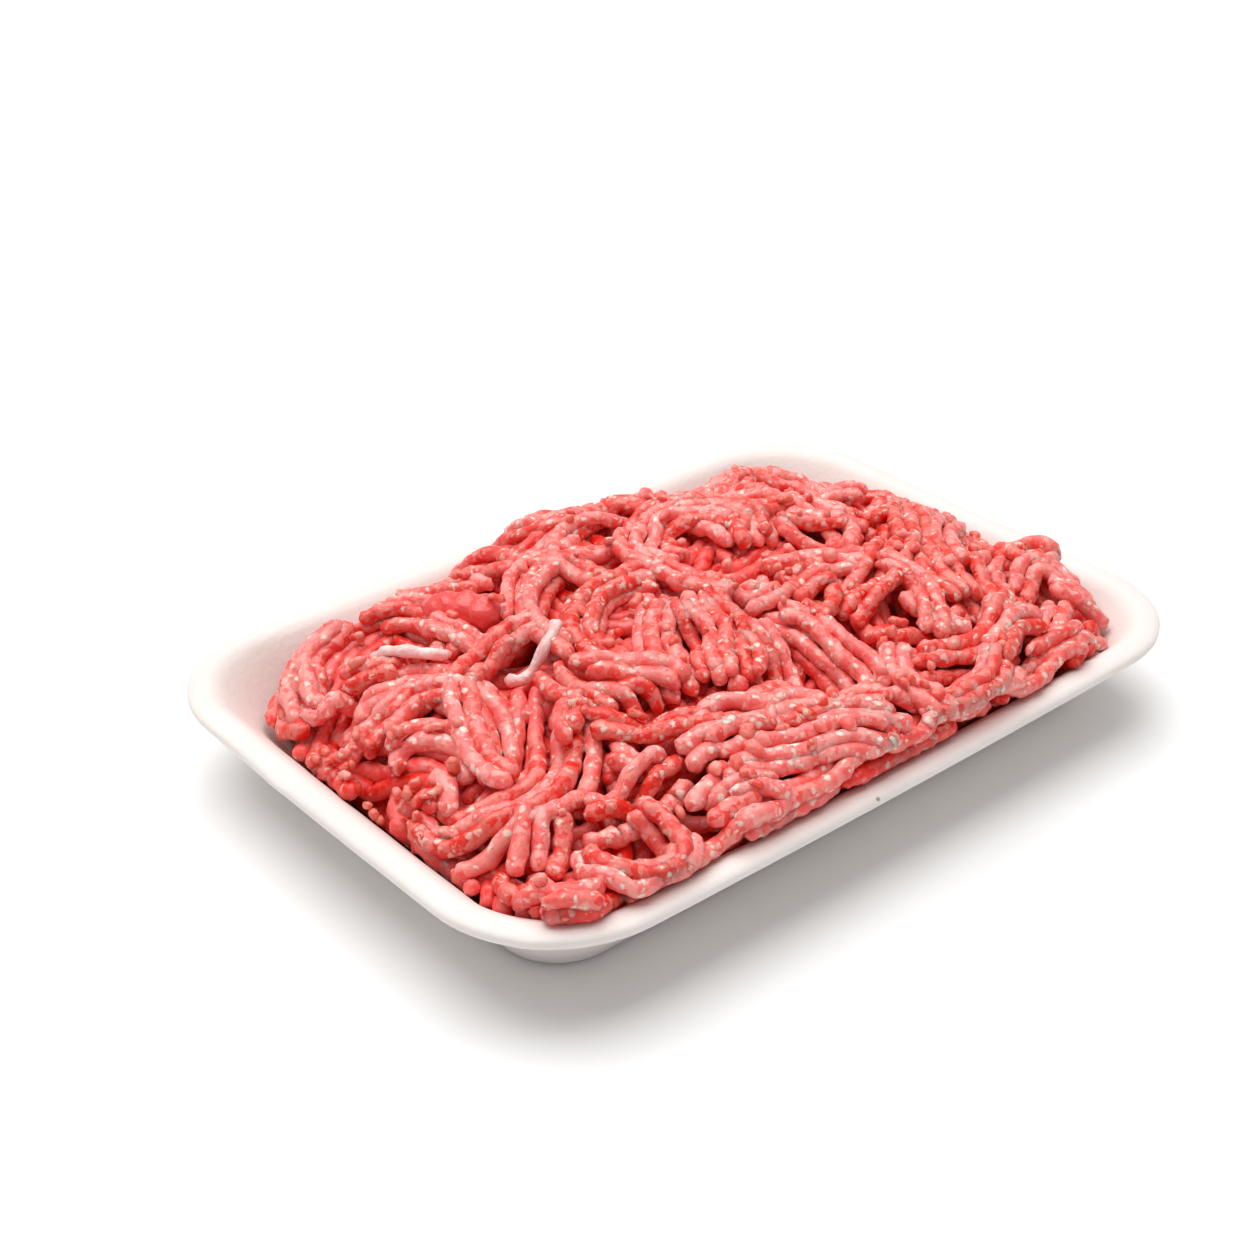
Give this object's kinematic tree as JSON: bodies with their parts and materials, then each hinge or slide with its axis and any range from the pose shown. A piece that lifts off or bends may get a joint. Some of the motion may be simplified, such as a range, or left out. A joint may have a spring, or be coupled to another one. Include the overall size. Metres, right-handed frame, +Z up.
{
  "type": "meat tray pack",
  "caption": "Open white foam tray with a rolled lip, heaped with long strands of freshly minced red meat.",
  "frame": {"origin": "middle of the tray's flat underside", "axes": "+X along the tray's long side, +Z up, out of the open top"},
  "size_m": [0.21, 0.146, 0.0436],
  "materials": {
    "foam": "expanded polystyrene foam, warm white, satin skin with a fine cell texture",
    "meat": "raw minced meat, moist and glossy, red with small cream flecks of fat"
  },
  "bodies": {
    "root": {"tray": "foam", "mince": "meat"}
  },
  "joints": []
}
